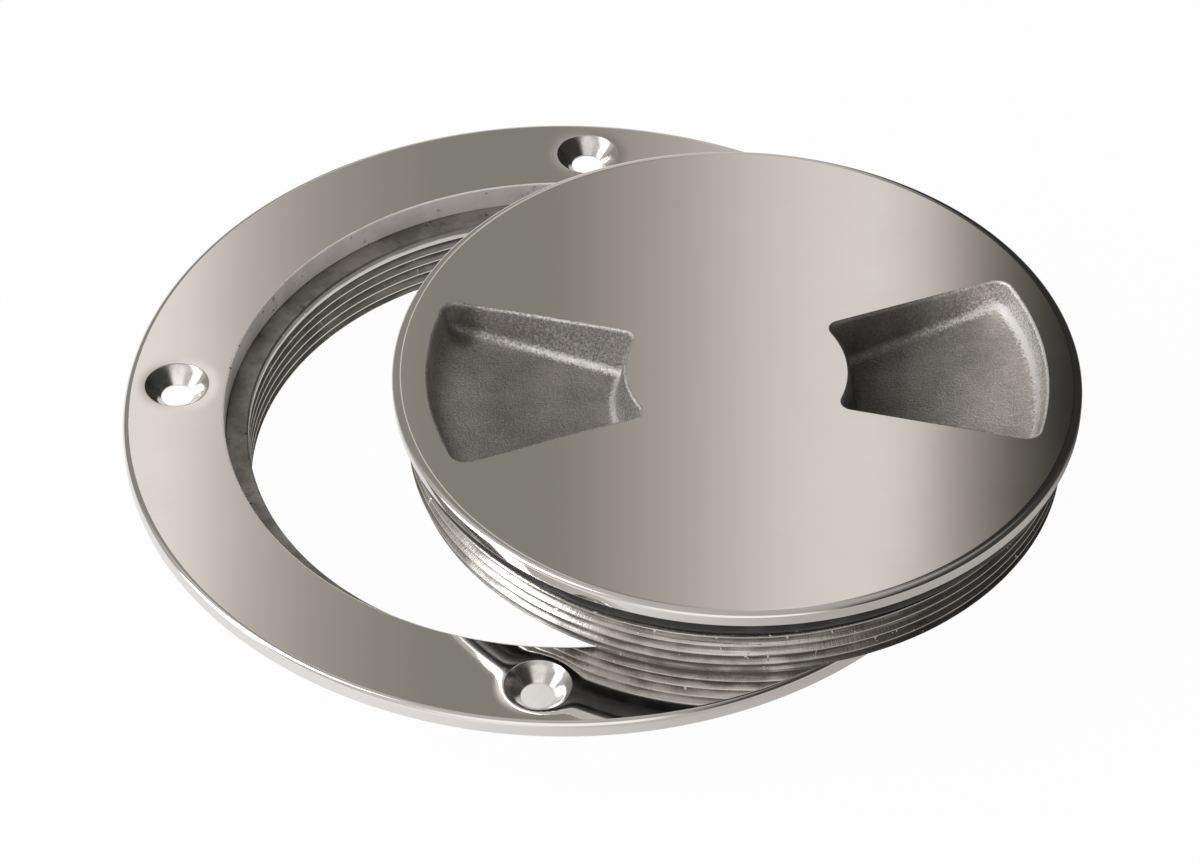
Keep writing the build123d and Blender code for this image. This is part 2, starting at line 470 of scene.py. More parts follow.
def turned_steel(name, centre):
    """Lathe-turned steel: fine rings round the axis, cloudy stains and, where it is pitted, small pores."""
    light, dark, gloss, pitted, metallic = TURNED[name]
    graph = Graph(bpy.data.materials.new(name))
    place, *polar = polar_places(graph, centre)
    rings = streaks(graph, polar, (1.5, 4000.0, 4000.0), 2.0)
    stains = graph.noise(place, 120.0, 6.0, 0.65)
    pores = graph.between(graph.noise(place, 700.0, 2.0), 0.70, 0.76) * pitted
    smears = graph.between(graph.noise(place, 170.0, 6.0, 0.7), 0.61, 0.69) * (pitted * 0.6)
    colour = graph.blend(graph.between(stains, 0.36, 0.6), dark, light)
    colour = graph.blend(smears, colour, SMEAR)
    colour = graph.blend(pores, colour, PORE)
    roughness = gloss + rings * 0.12 + pores * 0.3
    return finish(colour, roughness, rings * 0.4 - pores * 4.0, 0.02 * MM, metallic)


def threaded_steel(name, centre, light, dark, gloss, crest, depth, dark_below):
    """Cut thread: fine lines along the flanks, a little chatter across them, nicks with a painted glint,
    and grime with painted shade toward the root.

    The painted shade grows with the share of the groove's depth and with the points' painted
    attribute, and the thread grows darker below a given height; noise patches add the grime.
    """
    graph = Graph(bpy.data.materials.new(name))
    place, *polar = polar_places(graph, centre)
    radius, height = polar[1:]
    lines = streaks(graph, polar, (5.0, 2600.0, 2600.0), 3.0)
    chatter = streaks(graph, polar, (190.0, 300.0, 300.0), 3.0)
    patches = streaks(graph, polar, (9.0, 200.0, 420.0), 4.0)
    wear = graph.node("ShaderNodeAttribute", {"attribute_name": "wear"}, output="Fac")
    # Painted shade: darker with the share of the groove's depth, and where the points' attribute paints it
    sunk = (radius - crest) / depth * 0.9 + wear
    # Darker towards the bottom of the lid's thread
    low_darkening = graph.between(height, dark_below - DARKENING_FADE, dark_below, 0.4, 0.0)
    grime_and_shade = graph.between(sunk + low_darkening + (patches - 0.5) * 1.5 + (lines - 0.5) * 0.5, 0.0, 0.9)
    # Nicks: a small bump with a painted glint of near-white colour
    nicks_and_glints = graph.between(graph.noise(place, 800.0, 2.0), 0.69, 0.74)
    colour = graph.blend(nicks_and_glints, graph.blend(grime_and_shade, light, dark), NICK_GLINT)
    roughness = gloss + chatter * 0.14 + grime_and_shade * 0.1
    return finish(colour, roughness, lines + chatter * 0.7 + nicks_and_glints * 3.0, 0.03 * MM)


def cast_steel(name, tint, grain_scale, tones_and_painted_light):
    """Steel as cast: matt and speckled, with a painted highlight where the points' attribute asks for it,
    and with one dark stain.

    The tones darken or lighten it from the stain to the right; in the wells they are painted shade and
    painted light.
    """
    graph = Graph(bpy.data.materials.new(name))
    place, _, radius, _ = polar_places(graph, STAIN_PLACE)
    grain = graph.noise(place, grain_scale, 4.0, 0.75)
    clouds = graph.noise(place, 110.0, 5.0, 0.6)
    mapping = {"Vector": place, "Rotation": (0, 0, 0.7), "Scale": (60, 1600, 60)}
    marks = graph.noise(graph.node("ShaderNodeMapping", {}, mapping), 1.0, 3.0)
    wear = graph.node("ShaderNodeAttribute", {"attribute_name": "wear"}, output="Fac")
    # Painted highlight: near-white grains where the attribute is high
    highlight = graph.between(wear * 0.9 + (grain - 0.5) * 2.8, 0.3, 1.25)
    speckle = graph.between(clouds * 0.88 + marks * 0.12 + (grain - 0.5) * (0.9 + wear), 0.2, 0.85)
    stain = graph.fade(radius + (clouds - 0.5) * 0.005, 0.0005, 0.0038)
    colour = graph.blend(speckle, [level * 0.54 for level in tint], tint)
    colour = graph.blend(highlight, colour, PAINTED_HIGHLIGHT)
    colour = graph.blend(stain * 0.7, colour, STAIN)
    # In the wells: painted shade and painted light along x, dark, then bright towards the right-hand well's
    # outer end
    tone_and_painted_light = graph.ramp(graph.axes(place)[0] / TONE_SPAN, tones_and_painted_light)
    colour = graph.blend(1.0, colour, tone_and_painted_light, "MULTIPLY")
    return finish(colour, 0.44 - highlight * 0.2 + grain * 0.1, grain, 0.2 * MM)


def black_rubber(tint):
    """Moulded rubber with a fine tooth and paler dust."""
    graph = Graph(bpy.data.materials.new("seal_rubber"))
    place = object_place(graph)
    dust = graph.between(graph.noise(place, 260.0, 5.0), 0.45, 0.8)
    colour = graph.blend(dust, tint, DUST)
    return finish(colour, 0.36 + dust * 0.25, graph.noise(place, 2500.0, 2.0), 0.03 * MM, 0.0, 0.5)


def linked(name, data):
    """A new object in the scene."""
    made = bpy.data.objects.new(name, data)
    bpy.context.scene.collection.objects.link(made)
    return made


class Piece:
    """A mesh put together from grids of points, each with its material and its painted light and shade."""

    def __init__(self, name):
        self.name = name
        self.points = []
        self.faces = []
        self.slots = []
        self.wear = []
        self.materials = []
        self.count = 0

    def add(self, grid, material, wear=0.0):
        """Adds a grid of rows and columns of points; neighbours join into four-sided faces."""
        rows, columns = grid.shape[:2]
        index = self.count + np.arange(rows * columns).reshape(rows, columns)
        corners = (index[:-1, :-1], index[:-1, 1:], index[1:, 1:], index[1:, :-1])
        quads = np.stack([c.ravel() for c in corners], axis=1)
        if material not in self.materials:
            self.materials.append(material)
        self.points.append(grid.reshape(-1, 3))
        self.faces.append(quads)
        self.slots.append(np.full(len(quads), self.materials.index(material)))
        self.wear.append(np.broadcast_to(wear, (rows, columns)).ravel())
        self.count += rows * columns

    def build(self, body, node, sharp):
        """Makes the object: joins the seams, turns the faces outwards and marks the sharp edges."""
        mesh = bpy.data.meshes.new(self.name)
        points = np.concatenate(self.points)
        quads = np.concatenate(self.faces)
        mesh.from_pydata(points.tolist(), [], quads.tolist())
        mesh.polygons.foreach_set("material_index", np.concatenate(self.slots))
        # Painted light and shade per point, which the materials read
        attribute = mesh.attributes.new("wear", "FLOAT", "POINT")
        attribute.data.foreach_set("value", np.concatenate(self.wear).astype(np.float32))
        for material in self.materials:
            mesh.materials.append(material)
        edit = bmesh.new()
        edit.from_mesh(mesh)
        bmesh.ops.remove_doubles(edit, verts=edit.verts, dist=WELD)
        bmesh.ops.dissolve_degenerate(edit, edges=edit.edges, dist=SLIVER)
        bmesh.ops.recalc_face_normals(edit, faces=edit.faces)
        edit.to_mesh(mesh)
        edit.free()
        mesh.shade_smooth()
        mesh.set_sharp_from_angle(angle=sharp)
        piece = linked(self.name, mesh)
        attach(piece, body)
        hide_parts(node)
        return piece


def turned(profile, angles):
    """Rows of (radius, height) carried round the Z axis: x = r cos a, y = r sin a, z = h."""
    radius, height = (np.asarray(values)[:, None] for values in zip(*profile))
    x = radius * np.cos(angles)
    y = radius * np.sin(angles)
    return np.stack([x, y, np.broadcast_to(height, x.shape)], axis=-1)


def coned(rows, choose, cone, angles):
    """The same rows, each radius the greater or the lesser of its own and a cone's."""
    radius = choose(np.hypot(rows[..., 0], rows[..., 1]), cone)
    return np.stack([radius * np.cos(angles), radius * np.sin(angles), rows[..., 2]], axis=-1)


def rounded(centre, radius, start, end, steps):
    """Points of an arc in a section: centre plus radius times (cos, sin), between two angles."""
    angles = np.linspace(radians(start), radians(end), steps)
    return [(centre[0] + radius * cos(a), centre[1] + radius * sin(a)) for a in angles]


def eased(value):
    """Zero below 0, one above 1 and 3v^2 - 2v^3 between."""
    held = np.clip(value, 0.0, 1.0)
    return held * held * (3.0 - 2.0 * held)


def thread_rows(sizes, low, high, lift, crest, depth, angles):
    """A right-hand helical V thread between two heights; a negative depth cuts inwards.

    Along each row the height grows by one pitch a turn and is held between the two heights. The
    groove's depth falls off linearly from its middle to the edge of its mouth. Its highest turn ends
    at the start angle, just under the lift height, and fades out over the last of its way.
    """
    start = sizes.thread_start
    turns = ceil((high - low) / THREAD_PITCH) + 2
    phases = (np.arange(turns)[:, None] + THREAD_STEPS).ravel()
    offset = lift - start / (2 * pi) * THREAD_PITCH
    offset -= ceil((offset + THREAD_PITCH - low) / THREAD_PITCH) * THREAD_PITCH
    height = np.clip(offset + (phases[:, None] + angles / (2 * pi)) * THREAD_PITCH, low, high)
    around = np.mod(angles - start, 2 * pi) / (2 * pi)
    position = (height - lift) / THREAD_PITCH - around
    groove = np.round(position)
    ending = eased((1.0 - around) / THREAD_FADE)
    strength = np.where(groove < -1.5, 1.0, np.where(groove < -0.5, ending, 0.0))
    away = np.abs(position - groove) * THREAD_PITCH / (sizes.groove_mouth / 2)
    radius = crest + depth * strength * np.clip(1.0 - away, 0.0, 1.0 - THREAD_FOOT)
    return np.stack([radius * np.cos(angles), radius * np.sin(angles), height], axis=-1)


def sector_border(radii, middle):
    """The border of a sector about a column, as (x, y): outer arc, in along a side, inner arc, out."""
    sweep = ANGLES[1] * np.arange(middle - HOLE_COLUMNS, middle + HOLE_COLUMNS + 1)
    steps = len(radii) - 1
    radius = np.concatenate(
        [np.full(len(sweep), radii[-1]), radii[-2::-1], np.full(len(sweep) - 1, radii[0]), radii[1:]]
    )
    angle = np.concatenate([sweep, np.full(steps, sweep[-1]), sweep[-2::-1], np.full(steps, sweep[0])])
    return np.stack([radius * np.cos(angle), radius * np.sin(angle)], axis=1)


def flat_rows(inner, outer):
    """Radii across a flat ring face, with a narrow row beside each edge."""
    return np.concatenate([[inner], np.linspace(inner + SUPPORT, outer - SUPPORT, HOLE_ROWS), [outer]])


def drilled_face(radii, height, circle, hole, directions, dishes=(0.0,) * SCREW_COUNT):
    """A flat ring face with round holes, evenly spaced on a circle.

    Between the holes it is a polar grid. Round a hole, straight lines run from the border of a sector
    to points of the hole's circle that lie in the given directions. Round the hole the face sinks by
    its dish times (1 - d / w)^2, where d is the way from the hole and w the width of the dish.
    """
    quarter = COLUMNS // SCREW_COUNT
    share = HOLE_SHARES[:, None, None]
    grids = []
    for turn in range(SCREW_COUNT):
        middle = turn * quarter
        columns = np.arange(middle + HOLE_COLUMNS, middle + quarter - HOLE_COLUMNS + 1)
        grids.append(turned([(radius, height) for radius in radii], ANGLES[columns]))
        border = sector_border(radii, middle)
        rim = hole_ring(circle, hole, directions, ANGLES[middle])
        flat = border * (1 - share) + rim * share
        away = np.linalg.norm(flat - rim, axis=-1, keepdims=True)
        sunk = dishes[turn] * np.clip(1.0 - away / DISH_WIDTH, 0.0, 1.0) ** 2
        grids.append(np.concatenate([flat, height - sunk], axis=-1))
    return grids


def hole_ring(circle, hole, directions, turn):
    """Points of a hole's circle in the given directions, turned with the hole about the Z axis."""
    x = circle + hole * directions[:, 0]
    y = hole * directions[:, 1]
    return np.stack([x * cos(turn) - y * sin(turn), x * sin(turn) + y * cos(turn)], axis=1)


def drilled_wall(profile, circle, directions, turn):
    """The wall of a hole: its circle at each (radius, height) of a profile."""
    rows = []
    for radius, height in profile:
        ring = hole_ring(circle, radius, directions, turn)
        rows.append(np.concatenate([ring, np.full((len(ring), 1), height)], axis=1))
    return np.stack(rows)


def make_ring(ring, colours):
    """The threaded ring: flange with countersunk holes, seat, shelf, threaded bore and collar."""
    axis = (0.0, 0.0, 0.0)
    polish = polished_steel(colours.polished)
    seat_steel_painted_light = turned_steel("seat_steel_painted_light", axis)
    shelf_steel_painted_shade = turned_steel("shelf_steel_painted_shade", axis)
    low = ring_low.z
    groove = (ring.bore_radius, ring.groove_depth)
    thread_steel = threaded_steel("ring_thread_steel", axis, colours.bore, *RING_GRIME_AND_SHADE, *groove, low)
    outside_steel = turned_steel("collar_steel", axis)
    sink_steel = turned_steel("countersink_steel", axis)
    top = ring_high.z
    shelf = top - ring.seat_depth
    circle = screw_dims["pcd_mm"] / 2 * MM
    hole = screw_dims["hole_r_mm"] * MM
    face_rows = flat_rows(ring.seat_radius + SEAT_EDGE, ring.radius - ring.edge)
    back_rows = flat_rows(ring.collar_radius + COLLAR_ROOT, ring.radius - UNDER_EDGE)
    toward = sector_border(face_rows, 0) - np.array([circle, 0.0])
    directions = toward / np.linalg.norm(toward, axis=1)[:, None]

    piece = Piece("threaded_ring_casting")
    sink = ring.countersink_radius + SINK_EDGE
    for grid in drilled_face(face_rows, top, circle, sink, directions, DISHES):
        piece.add(grid, polish)
    edge = rounded((ring.radius - ring.edge, top - ring.edge), ring.edge, 90, 0, 9)
    edge += [(ring.radius, UNDER_EDGE + SUPPORT), (ring.radius, UNDER_EDGE)]
    piece.add(turned(edge, ANGLES), polish)
    under_edge = rounded((ring.radius - UNDER_EDGE, UNDER_EDGE), UNDER_EDGE, 0, -90, 4)
    piece.add(turned(under_edge, ANGLES), outside_steel)
    for grid in drilled_face(back_rows, 0.0, circle, hole, directions):
        piece.add(grid, outside_steel)

    root = rounded((ring.collar_radius + COLLAR_ROOT, -COLLAR_ROOT), COLLAR_ROOT, 90, 180, 6)
    wall = [(ring.collar_radius, -COLLAR_ROOT - SUPPORT), (ring.collar_radius, low + COLLAR_END)]
    foot = [(ring.collar_radius - COLLAR_END, low), (ring.bore_radius + ring.bore_chamfer, low)]
    piece.add(turned(root + wall + foot, ANGLES), outside_steel)
    lift = shelf - ring.bore_lead - ring.groove_mouth / 2
    rows = thread_rows(ring, low, shelf - SHELF_EDGE, lift, *groove, ANGLES)
    cone = ring.bore_radius + ring.bore_chamfer - (rows[..., 2] - low)
    rows = coned(rows, np.maximum, cone, ANGLES)
    # Painted shade: the attribute grows up the plain lead at the top of the bore and darkens it
    piece.add(rows, thread_steel, eased((rows[..., 2] - lift) / ring.bore_lead))
    mouth = [(ring.bore_radius + ring.bore_chamfer, low), (ring.bore_radius, low + ring.bore_chamfer)]
    piece.add(turned(mouth, ANGLES), thread_steel)

    # Painted shade: the bore's top chamfer and the shelf take the darker shelf steel
    edge_in = [(ring.bore_radius, shelf - SHELF_EDGE), (ring.bore_radius + SHELF_EDGE, shelf)]
    piece.add(turned(edge_in, ANGLES), shelf_steel_painted_shade)
    corner = rounded((ring.seat_radius - SEAT_CORNER, shelf + SEAT_CORNER), SEAT_CORNER, -90, 0, 5)
    piece.add(turned([(ring.bore_radius + SHELF_EDGE, shelf)] + corner, ANGLES), shelf_steel_painted_shade)
    # Painted light: the seat's wall and its upper edge take the white seat steel
    rim = rounded((ring.seat_radius + SEAT_EDGE, top - SEAT_EDGE), SEAT_EDGE, 180, 90, 5)
    seat = [corner[-1], (ring.seat_radius, top - SEAT_EDGE - SUPPORT)] + rim
    piece.add(turned(seat, ANGLES), seat_steel_painted_light)

    lip = ring.countersink_radius
    slope = [(hole + share * (lip - hole), top - (1 - share) * (lip - hole)) for share in SINK_SHARES]
    for turn, dish in enumerate(DISHES):
        crown = top - dish
        edge = [(lip + SINK_EDGE * away, crown - SINK_EDGE * drop) for away, drop in SINK_EDGE_ROWS]
        wall = edge + slope + [(hole, 0.0)]
        piece.add(drilled_wall(wall, circle, directions, turn * 2 * pi / SCREW_COUNT), sink_steel)
    return piece.build("root", "threaded_ring", SHARP_ANGLE)


def laid(grid, lid):
    """Carries a grid from the lid's own frame to where the lid lies: a turn about Z, then a shift."""
    turn = np.array([[cos(lid.turn), -sin(lid.turn), 0], [sin(lid.turn), cos(lid.turn), 0], [0, 0, 1]])
    return grid @ turn.T + np.array([lid_axis.x, lid_axis.y, lid_low.z])


def well_line(well):
    """The straight side of a well: its angle to the well's axis and its distance from the lid's centre."""
    inner_x = sqrt(well.inner_radius**2 - (well.inner_width / 2) ** 2)
    outer_x = sqrt(well.outer_radius**2 - (well.outer_width / 2) ** 2)
    angle = atan2((well.outer_width - well.inner_width) / 2, outer_x - inner_x)
    return angle, well.inner_width / 2 * cos(angle) - inner_x * sin(angle)


def well_inset(x, y, well):
    """How far a point lies inside a well's outline, which has two straight sides and two arcs.

    It is the least distance to a side or an arc. Near a corner it is the distance to a rounded one:
    the corner's radius less the length of what the side and the arc each fall short of it.
    """
    angle, away = well_line(well)
    side = away - (np.abs(y) * cos(angle) - x * sin(angle))
    radius = np.hypot(x, y)
    arc = np.minimum(well.outer_radius - radius, radius - well.inner_radius)
    short = np.hypot(np.maximum(well.corner - side, 0), np.maximum(well.corner - arc, 0))
    return np.where(np.minimum(side, arc) < well.corner, well.corner - short, np.minimum(side, arc))


def well_depth(x, well):
    """Depth of a well's sloping floor: it falls off linearly from the inner to the outer arc."""
    share = (x - well.inner_radius) / (well.outer_radius - well.inner_radius)
    return well.inner_depth + share * (well.outer_depth - well.inner_depth)


def rays_to(border):
    """Directions from the middle of a well to the points of a border, and the way to each."""
    rays = border - np.array([WELL_MIDDLE, 0.0])
    length = np.linalg.norm(rays, axis=1)
    return rays / length[:, None], length


def find_level(rays, length, level):
    """How far along each ray a falling function passes through zero, by halving."""
    low = np.zeros(len(length))
    high = np.ones(len(length))
    for _ in range(HALVINGS):
        share = (low + high) / 2
        x = WELL_MIDDLE + rays[:, 0] * length * share
        y = rays[:, 1] * length * share
        inside = level(x, y) > 0
        low = np.where(inside, share, low)
        high = np.where(inside, high, share)
    return length * (low + high) / 2


def half_border(radius):
    """The border of a half disc, as (x, y): its arc, then its straight side, both seen evenly.

    The arc has equal steps of angle about the lid's axis and the side has equal steps of angle about
    the middle of the well, so that the well's corners get enough points.
    """
    arc = np.linspace(-pi / 2, pi / 2, HALF_COLUMNS)
    reach = atan2(radius, WELL_MIDDLE)
    side = np.linspace(reach, -reach, SIDE_COLUMNS + 1)[1:]
    x = np.concatenate([radius * np.cos(arc), np.zeros(len(side))])
    y = np.concatenate([radius * np.sin(arc), WELL_MIDDLE * np.tan(side)])
    return np.stack([x, y], axis=1)


def well_rows(well, top, rays, length):
    """The surface of a well as rows of points, from the face inwards to the middle of its floor.

    A row lies where the inset from the outline has the value that its place in the wall's section
    asks for. The section is a small rounded lip, a straight wall that leans by the draft, and an arc
    of the foot's radius. All of it follows the local depth of the floor. Each row also has its painted
    highlight, first that of its lip, wall and foot, then that of the wall alone.
    """
    lean = tan(well.draft)
    foot = well.foot
    section = [(0.0, -LIP - SUPPORT, 0.0, 0.0)]
    for angle in np.linspace(0, pi / 2, LIP_ROWS):
        section.append((0.0, LIP * (sin(angle) - 1.0), 0.0, LIP * (1.0 - cos(angle))))
    for share in np.linspace(0, 1, WALL_ROWS)[1:]:
        section.append((share * lean, -share * foot * lean, share, LIP * (1 - share) - share * foot))
    for angle in np.linspace(0, pi / 2, FOOT_ROWS)[1:]:
        section.append((lean, foot * (1 - cos(angle)) - foot * lean, 1.0, foot * (sin(angle) - 1.0)))
    rows, wear = [], []
    for number, (inset_share, inset_fixed, drop_share, drop_fixed) in enumerate(section):

        def level(x, y):
            return well_inset(x, y, well) - inset_share * well_depth(x, well) - inset_fixed

        reach = find_level(rays, length, level)
        x = WELL_MIDDLE + rays[:, 0] * reach
        y = rays[:, 1] * reach
        z = top - drop_share * well_depth(x, well) - drop_fixed
        rows.append(np.stack([x, y, z], axis=1))
        place = number / (len(section) - 1)
        # Painted highlight along the lip, the wall and the foot
        flat = FLAT_HIGHLIGHT * (FLAT_SPAN[0] < place < FLAT_SPAN[1])
        wear.append((max(hump(place, *LIP_HIGHLIGHT), flat, hump(place, *FOOT_HIGHLIGHT)), hump(place, *WALL_HIGHLIGHT)))
    edge = rows[-1]
    for share in np.linspace(1, 0, FLOOR_ROWS)[1:]:
        x = WELL_MIDDLE + (edge[:, 0] - WELL_MIDDLE) * share
        y = edge[:, 1] * share
        rows.append(np.stack([x, y, top - well_depth(x, well)], axis=1))
        wear.append((0.0, 0.0))
    return np.stack(rows), np.array(wear)


def hump(place, middle, width):
    """The exponential of minus the square of how many widths a place lies from the middle."""
    return exp(-(((place - middle) / width) ** 2))


def well_painted_highlight(wear, rays, turn):
    """How bright each point of a well's painted highlight is, from the highlight of its row and the way its
    ray goes.

    The rows' own painted highlight grows towards the right and a little more in the right-hand
    corner behind, as painted light from the left. The wall's painted highlight is added where it faces the
    left.
    """
    across, along = turn * rays[:, 0], turn * rays[:, 1]
    # More painted highlight where the well's side faces the light from the left
    facing = 0.3 + 0.8 * eased((across + 0.85) / 1.5)
    facing += 0.15 * eased((0.6 * across + 0.6 * along - 0.4) / 0.4)
    outward = 0.32 * eased((0.8 * across + 0.3 * along - 0.3) / 0.5)
    return wear[:, :1] * facing + wear[:, 1:] * outward


def under_rows(well, border, plate_level):
    """The underside of the lid over one half: the plate, and the wall round and under a well.

    Along each ray the well's floor wall runs out to its own foot, its side climbs to the plate where
    the outline, grown by the wall, is passed, and the plate goes on to the border.
    """
    rays, length = rays_to(border)
    lean = tan(well.draft)
    top = lid_high.z - lid_low.z

    def bottom(x):
        return top - well_depth(x, well) - well.wall

    def outside(height):
        def level(x, y):
            return well_inset(x, y, well) + well.wall - lean * (top - height(x))

        return find_level(rays, length, level)

    low_end = outside(bottom)
    high_end = outside(lambda x: plate_level)
    free = high_end < length - SUPPORT
    high_end = np.where(free, high_end, length)
    low_end = np.minimum(low_end, high_end)

    def row(reach, climb):
        x = WELL_MIDDLE + rays[:, 0] * reach
        low = bottom(x)
        height = np.where(free, low + (plate_level - low) * climb, low)
        return np.stack([x, rays[:, 1] * reach, height], axis=1)

    rows = [row(low_end * share, 0.0) for share in np.linspace(0, 1, FLOOR_ROWS)]
    climbs = np.linspace(0, 1, WALL_ROWS)[1:]
    rows += [row(low_end + (high_end - low_end) * climb, climb) for climb in climbs]
    rows += [row(high_end + (length - high_end) * share, 1.0) for share in PLATE_SHARES]
    return np.stack(rows)


def make_lid(lid, well, colours):
    """The screw lid: face with two finger wells, rim, neck, threaded skirt and hollow underside."""
    polish = polished_steel(colours.polished)
    centre = (lid_axis.x, lid_axis.y, 0.0)
    groove = (lid.thread_radius, -lid.groove_depth)
    dark_below = lid_low.z + LID_DARK_BELOW
    thread_steel = threaded_steel("lid_thread_steel", centre, colours.thread, *LID_GRIME_AND_SHADE, *groove, dark_below)
    neck_steel = turned_steel("neck_steel", centre)
    well_steel = cast_steel("well_steel", colours.cast, WELL_GRAIN, WELL_PAINTED_LIGHT_AND_SHADE)
    under_steel = cast_steel("underside_steel", colours.cast, UNDER_GRAIN, UNDER_TONES)
    top = lid_high.z - lid_low.z
    face = lid.radius - lid.roll
    piece = Piece("screw_lid_casting")

    def add(grid, material, wear=0.0):
        piece.add(laid(grid, lid), material, wear)

    border = half_border(face)
    rays, length = rays_to(border)
    rows, wear = well_rows(well, top, rays, length)
    outer = np.concatenate([border, np.full((len(border), 1), top)], axis=1)
    share = FACE_SHARES[:, None, None]
    flat = outer * (1 - share) + rows[0] * share
    under = under_rows(well, half_border(lid.hollow_radius), top - lid.plate)
    mouth = levelled(under[-1], SKIRT_CHAMFER)
    share = np.concatenate([[0.0], np.linspace(SKIRT_TOP, 1.0, WALL_ROWS)])[:, None, None]
    arc = slice(0, HALF_COLUMNS)
    wall = under[-1, arc] * (1 - share) + mouth[arc] * share
    for turn in (1.0, -1.0):
        half_turn = np.array([turn, turn, 1.0])
        add(flat * half_turn, polish)
        # Painted highlight on the well's walls, strongest where they face the left
        add(rows * half_turn, well_steel, well_painted_highlight(wear, rays, turn))
        add(under * half_turn, under_steel)
        add(wall * half_turn, under_steel)

    near = np.linspace(-pi / 2, pi / 2, HALF_COLUMNS)
    spread = np.concatenate([near, np.linspace(pi / 2, 3 * pi / 2, HALF_COLUMNS)[1:]])
    rim_low = top - lid.rim_height
    bends = np.linspace(0.0, pi / 2, EDGE_ROWS)
    edge = [(face + lid.roll * sin(a), top - lid.edge * (1.0 - cos(a))) for a in bends]
    edge += [(lid.radius, rim_low + RIM_UNDER + SUPPORT)]
    edge += rounded((lid.radius - RIM_UNDER, rim_low + RIM_UNDER), RIM_UNDER, 0, -90, 4)
    add(turned(edge, spread), polish)
    neck = [edge[-1], (lid.neck_radius, rim_low), (lid.neck_radius, lid.thread_length)]
    add(turned(neck, spread), neck_steel)
    lift = lid.thread_length + THREAD_PITCH / 2
    threads = thread_rows(lid, 0.0, lid.thread_length, lift, *groove, spread)
    cone = lid.thread_radius - SKIRT_CHAMFER + threads[..., 2]
    threads = coned(threads, np.minimum, cone, spread)
    add(threads, thread_steel)
    shoulder = turned([(lid.neck_radius, lid.thread_length)], spread)
    add(np.stack([threads[-1], shoulder[0]]), thread_steel)
    end = turned([(lid.hollow_radius + SKIRT_CHAMFER, 0.0), (lid.hollow_radius, SKIRT_CHAMFER)], spread)
    add(np.stack([threads[0], end[0]]), thread_steel)
    add(end, under_steel)
    return piece.build("root", "screw_lid", SHARP_ANGLE)


def levelled(row, height):
    """The same row of points, all at one height."""
    return np.concatenate([row[:, :2], np.full((len(row), 1), height)], axis=1)


def make_seal(lid, colours):
    """The rubber seal: a closed section with round corners, carried round the neck of the lid."""
    height = seal_high.z - seal_low.z
    width = (seal_high.x - seal_low.x) / 2 - lid.neck_radius
    low = seal_low.z - lid_low.z
    middle = lid.neck_radius + width - SEAL_ROUND
    section = [(lid.neck_radius, low)]
    section += rounded((middle, low + SEAL_ROUND), SEAL_ROUND, -90, 0, 8)
    section += rounded((middle, low + height - SEAL_ROUND), SEAL_ROUND, 0, 90, 8)
    section += [(lid.neck_radius, low + height), (lid.neck_radius, low)]
    piece = Piece("rubber_seal")
    piece.add(laid(turned(section, ANGLES), lid), black_rubber(colours.rubber))
    return piece.build("root", "seal_ring", SEAL_SHARP_ANGLE)


def camera_axes(stage):
    """Right, down and forward of the camera in the ring's frame: a dive, a roll, then a turn about Z."""
    forward = Vector((0.0, cos(stage.elevation), -sin(stage.elevation)))
    right = Vector((1.0, 0.0, 0.0))
    down = forward.cross(right)
    level = Matrix.Rotation(stage.heading, 3, "Z")
    rolled_right = cos(stage.roll) * right - sin(stage.roll) * down
    rolled_down = sin(stage.roll) * right + cos(stage.roll) * down
    return level @ rolled_right, level @ rolled_down, level @ forward


def make_camera(stage):
    """The camera: the ring's centre, at the flange's face, lies at the aim in front of it."""
    right, down, forward = camera_axes(stage)
    centre = Vector((0.0, 0.0, ring_high.z))
    place = centre - stage.aim[0] * right - stage.aim[1] * down - stage.aim[2] * forward
    camera = linked("camera", bpy.data.cameras.new("camera"))
    camera.data.lens = stage.lens
    camera.data.sensor_width = SENSOR_WIDTH
    camera.data.clip_end = FAR_CLIP
    turn = Matrix((right, -down, -forward)).transposed()
    camera.matrix_world = Matrix.Translation(place) @ turn.to_4x4()
    bpy.context.scene.camera = camera


def make_floor():
    """A floor that the camera sees as white, apart from a faint shadow of the piece.

    Reflections show it with painted light that falls off from the left to the right, and painted shade at
    the right behind the piece.
    """
    half = FLOOR_SIZE / 2
    points = [(-half, -half), (half, -half), (half, half), (-half, half)]
    mesh = bpy.data.meshes.new("floor")
    mesh.from_pydata([(x, y, ring_low.z - FLOOR_GAP) for x, y in points], [], [(0, 1, 2, 3)])
    graph = Graph(bpy.data.materials.new("floor_white"))
    seen = graph.light_path("Is Camera Ray")
    mirrored = graph.light_path("Is Glossy Ray")
    right, behind, _ = graph.axes(object_place(graph))
    # Painted light and shade for glossy rays: the floor glows bright at the left, dimmer to the right, and
    # dark far behind at the right
    floor_painted_light = graph.blend(graph.between(right, *LEFT_TO_RIGHT), FLOOR_PAINTED_LIT, FLOOR_PAINTED_SHADE)
    far = graph.between(right, *FAR_RIGHT) * graph.between(behind, *FAR_BEHIND)
    floor_painted_light = graph.blend(mirrored, WHITE, graph.blend(far, floor_painted_light, FLOOR_PAINTED_DARK))
    paper = graph.node("ShaderNodeBsdfDiffuse", {}, {"Color": (*FLOOR_PAPER, 1.0)})
    white = graph.node("ShaderNodeEmission", {}, {"Color": floor_painted_light, "Strength": 1.0})
    share = seen * FLOOR_SEEN + mirrored * FLOOR_MIRRORED
    shown = graph.node("ShaderNodeMixShader", {}, {0: share, 1: paper, 2: white})
    graph.node("ShaderNodeOutputMaterial", {}, {"Surface": shown})
    mesh.materials.append(graph.owner)
    floor = linked("floor", mesh)


